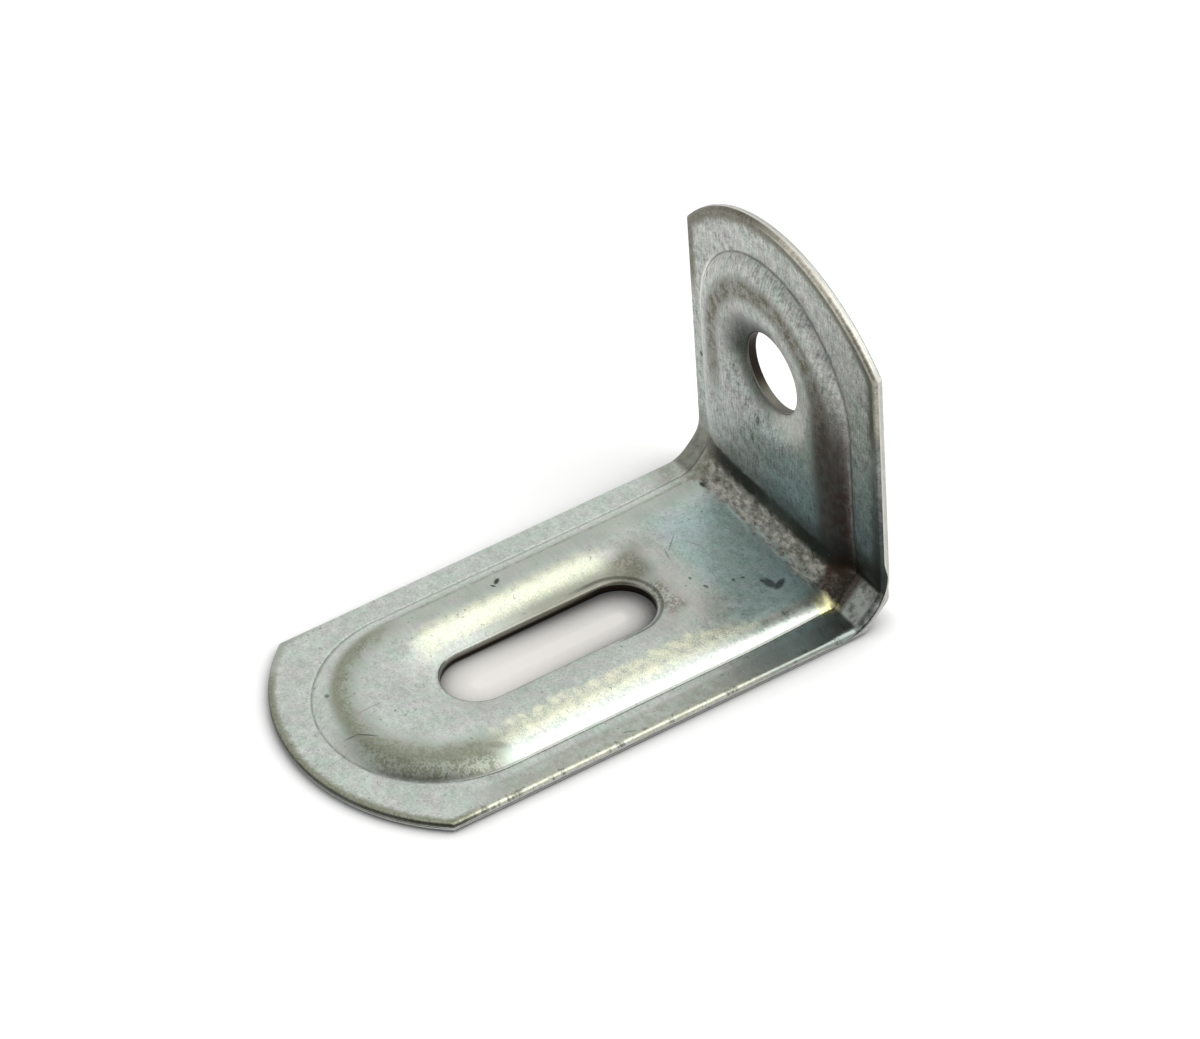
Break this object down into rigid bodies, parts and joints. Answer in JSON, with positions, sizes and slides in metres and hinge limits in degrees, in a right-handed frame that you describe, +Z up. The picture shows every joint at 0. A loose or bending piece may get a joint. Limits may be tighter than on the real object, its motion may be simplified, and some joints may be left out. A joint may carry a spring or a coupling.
{
  "type": "angle bracket",
  "caption": "Pressed steel angle bracket with rounded ends, a raised rib through the fold, a long slot in the lying leg and a round screw hole in the upright.",
  "frame": {"origin": "bottom centre of the bounding box: the underside of the lying leg is at Z = 0", "axes": "+Y from the free end of the long leg to the back of the upright, +Z up along the upright, +X across both legs"},
  "size_m": [0.024, 0.043, 0.0282],
  "materials": {
    "zinc_steel": "satin"
  },
  "bodies": {
    "root": {"bracket": "zinc_steel"}
  },
  "joints": []
}
